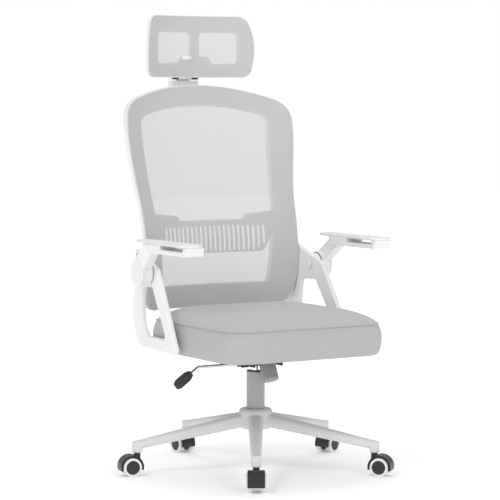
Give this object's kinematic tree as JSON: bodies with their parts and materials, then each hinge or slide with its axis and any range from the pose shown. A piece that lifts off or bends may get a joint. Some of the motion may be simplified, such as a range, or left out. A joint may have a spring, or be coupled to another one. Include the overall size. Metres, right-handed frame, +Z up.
{
  "type": "office chair",
  "caption": "High-back mesh office chair with headrest, padded seat, flip-up armrests, tilt, gas lift and a five-legged caster base.",
  "frame": {"origin": "on the floor under the gas lift's axis", "axes": "+Z up, -Y the way the sitter faces, +X to the sitter's left"},
  "size_m": [0.7411, 0.7506, 1.2401],
  "materials": {
    "base_plastic": "satin light grey nylon",
    "tube_grey": "satin grey paint",
    "dark_plastic": "satin dark grey",
    "wheel_white": "satin white tread with dark side disc",
    "chrome": "polished",
    "steel": "plain",
    "mech_black": "satin black",
    "knob_grey": "fine satin",
    "seat_fabric": "woven light grey",
    "plywood": "plain ply",
    "white_plastic": "satin white",
    "pad_white": "soft satin",
    "mesh_fabric": "light grey open mesh"
  },
  "bodies": {
    "base": {"base_star": "base_plastic", "caster_sleeves": "dark_plastic", "lift_outer_tube": "tube_grey", "lift_guide_bush": "dark_plastic", "lift_thrust_bearing": "steel"},
    "lift_rod": {"lift_piston_rod": "steel", "lift_retaining_clip": "steel"},
    "column": {"lift_cylinder": "chrome", "mechanism_housing": "mech_black", "tilt_pivot_pin": "steel", "tension_spring": "steel"},
    "release_pin": {"release_pin": "steel"},
    "lever_bush": {"lever_bush": "dark_plastic"},
    "lever": {"lever_rod": "chrome", "lever_paddle": "dark_plastic"},
    "seat": {"seat_plate": "mech_black", "seat_plate_bolts": "steel", "tension_bolt": "steel", "seat_pan": "plywood", "seat_cushion": "seat_fabric", "arm_bracket_left": "white_plastic", "arm_bracket_right": "white_plastic", "arm_pivot_bolts": "steel", "frame_screws": "steel", "back_frame": "white_plastic", "back_mesh": "mesh_fabric", "lumbar_panel": "white_plastic", "post_guide": "white_plastic"},
    "knob": {"tension_knob": "knob_grey"},
    "arm_left": {"armrest_frame_left": "white_plastic", "arm_pad_left": "pad_white", "pivot_cap_left": "white_plastic"},
    "arm_right": {"armrest_frame_right": "white_plastic", "arm_pad_right": "pad_white", "pivot_cap_right": "white_plastic"},
    "headrest_carrier": {"headrest_post": "white_plastic", "headrest_bracket": "white_plastic", "headrest_pin": "steel"},
    "headrest": {"headrest_frame": "white_plastic", "headrest_mesh": "mesh_fabric"},
    "caster_1": {"caster_1_hood": "dark_plastic", "caster_1_pins": "steel"},
    "caster_1_wheel_a": {"caster_1_wheel_a": "wheel_white"},
    "caster_1_wheel_b": {"caster_1_wheel_b": "wheel_white"},
    "caster_2": {"caster_2_hood": "dark_plastic", "caster_2_pins": "steel"},
    "caster_2_wheel_a": {"caster_2_wheel_a": "wheel_white"},
    "caster_2_wheel_b": {"caster_2_wheel_b": "wheel_white"},
    "caster_3": {"caster_3_hood": "dark_plastic", "caster_3_pins": "steel"},
    "caster_3_wheel_a": {"caster_3_wheel_a": "wheel_white"},
    "caster_3_wheel_b": {"caster_3_wheel_b": "wheel_white"},
    "caster_4": {"caster_4_hood": "dark_plastic", "caster_4_pins": "steel"},
    "caster_4_wheel_a": {"caster_4_wheel_a": "wheel_white"},
    "caster_4_wheel_b": {"caster_4_wheel_b": "wheel_white"},
    "caster_5": {"caster_5_hood": "dark_plastic", "caster_5_pins": "steel"},
    "caster_5_wheel_a": {"caster_5_wheel_a": "wheel_white"},
    "caster_5_wheel_b": {"caster_5_wheel_b": "wheel_white"}
  },
  "joints": [
    {"name": "seat_swivel", "type": "hinge", "parent": "base", "child": "lift_rod", "pos_m": [0, 0, 0.1], "axis": [0, 0, 1], "continuous": true},
    {"name": "seat_height", "type": "slide", "parent": "lift_rod", "child": "column", "axis": [0, 0, 1], "range_m": [0, 0.09]},
    {"name": "valve_press", "type": "slide", "parent": "column", "child": "release_pin", "axis": [0, 0, -1], "range_m": [0, 0.006]},
    {"name": "lever_lift", "type": "hinge", "parent": "column", "child": "lever_bush", "pos_m": [-0.057, -0.024, 0.294], "axis": [0, 1, 0], "range_deg": [0, 4.5]},
    {"name": "lever_pull", "type": "slide", "parent": "lever_bush", "child": "lever", "axis": [-1, 0, 0], "range_m": [0, 0.012]},
    {"name": "seat_tilt", "type": "hinge", "parent": "column", "child": "seat", "pos_m": [0, 0.032, 0.314], "axis": [-1, 0, 0], "range_deg": [0, 12], "stiffness_Nm_per_rad": 120, "springref_deg": -17.19, "deforming": ["tension_spring"]},
    {"name": "tension_turn", "type": "hinge", "parent": "seat", "child": "knob", "pos_m": [0, -0.07, 0.273], "axis": [0, 0.4226, 0.9063], "continuous": true},
    {"name": "arm_flip_left", "type": "hinge", "parent": "seat", "child": "arm_left", "pos_m": [0.285, 0.118, 0.541], "axis": [-1, 0, 0], "range_deg": [0, 90]},
    {"name": "arm_flip_right", "type": "hinge", "parent": "seat", "child": "arm_right", "pos_m": [-0.285, 0.118, 0.541], "axis": [-1, 0, 0], "range_deg": [0, 90]},
    {"name": "headrest_height", "type": "slide", "parent": "seat", "child": "headrest_carrier", "axis": [0, 0, 1], "range_m": [0, 0.045]},
    {"name": "headrest_tilt", "type": "hinge", "parent": "headrest_carrier", "child": "headrest", "pos_m": [0, 0.373, 1.118], "axis": [1, 0, 0], "range_deg": [-20, 20]},
    {"name": "caster_1_swivel", "type": "hinge", "parent": "base", "child": "caster_1", "pos_m": [-0.17202, -0.28629, 0.07], "axis": [0, 0, 1], "continuous": true},
    {"name": "caster_1_roll_a", "type": "hinge", "parent": "caster_1", "child": "caster_1_wheel_a", "pos_m": [-0.18129, -0.30172, 0.025], "axis": [0.8572, -0.515, 0], "continuous": true},
    {"name": "caster_1_roll_b", "type": "hinge", "parent": "caster_1", "child": "caster_1_wheel_b", "pos_m": [-0.18129, -0.30172, 0.025], "axis": [0.8572, -0.515, 0], "continuous": true},
    {"name": "caster_2_swivel", "type": "hinge", "parent": "base", "child": "caster_2", "pos_m": [0.21912, -0.25207, 0.07], "axis": [0, 0, 1], "continuous": true},
    {"name": "caster_2_roll_a", "type": "hinge", "parent": "caster_2", "child": "caster_2_wheel_a", "pos_m": [0.23093, -0.26566, 0.025], "axis": [0.7547, 0.6561, 0], "continuous": true},
    {"name": "caster_2_roll_b", "type": "hinge", "parent": "caster_2", "child": "caster_2_wheel_b", "pos_m": [0.23093, -0.26566, 0.025], "axis": [0.7547, 0.6561, 0], "continuous": true},
    {"name": "caster_3_swivel", "type": "hinge", "parent": "base", "child": "caster_3", "pos_m": [0.30745, 0.1305, 0.07], "axis": [0, 0, 1], "continuous": true},
    {"name": "caster_3_roll_a", "type": "hinge", "parent": "caster_3", "child": "caster_3_wheel_a", "pos_m": [0.32402, 0.13754, 0.025], "axis": [-0.3907, 0.9205, 0], "continuous": true},
    {"name": "caster_3_roll_b", "type": "hinge", "parent": "caster_3", "child": "caster_3_wheel_b", "pos_m": [0.32402, 0.13754, 0.025], "axis": [-0.3907, 0.9205, 0], "continuous": true},
    {"name": "caster_4_swivel", "type": "hinge", "parent": "base", "child": "caster_4", "pos_m": [-0.02911, 0.33273, 0.07], "axis": [0, 0, 1], "continuous": true},
    {"name": "caster_4_roll_a", "type": "hinge", "parent": "caster_4", "child": "caster_4_wheel_a", "pos_m": [-0.03068, 0.35066, 0.025], "axis": [-0.9962, -0.0872, 0], "continuous": true},
    {"name": "caster_4_roll_b", "type": "hinge", "parent": "caster_4", "child": "caster_4_wheel_b", "pos_m": [-0.03068, 0.35066, 0.025], "axis": [-0.9962, -0.0872, 0], "continuous": true},
    {"name": "caster_5_swivel", "type": "hinge", "parent": "base", "child": "caster_5", "pos_m": [-0.32544, 0.07513, 0.07], "axis": [0, 0, 1], "continuous": true},
    {"name": "caster_5_roll_a", "type": "hinge", "parent": "caster_5", "child": "caster_5_wheel_a", "pos_m": [-0.34298, 0.07918, 0.025], "axis": [-0.225, -0.9744, 0], "continuous": true},
    {"name": "caster_5_roll_b", "type": "hinge", "parent": "caster_5", "child": "caster_5_wheel_b", "pos_m": [-0.34298, 0.07918, 0.025], "axis": [-0.225, -0.9744, 0], "continuous": true}
  ],
  "couplings": [
    {"joint": "valve_press", "follows": "lever_lift", "m_per_rad": 0.06}
  ]
}
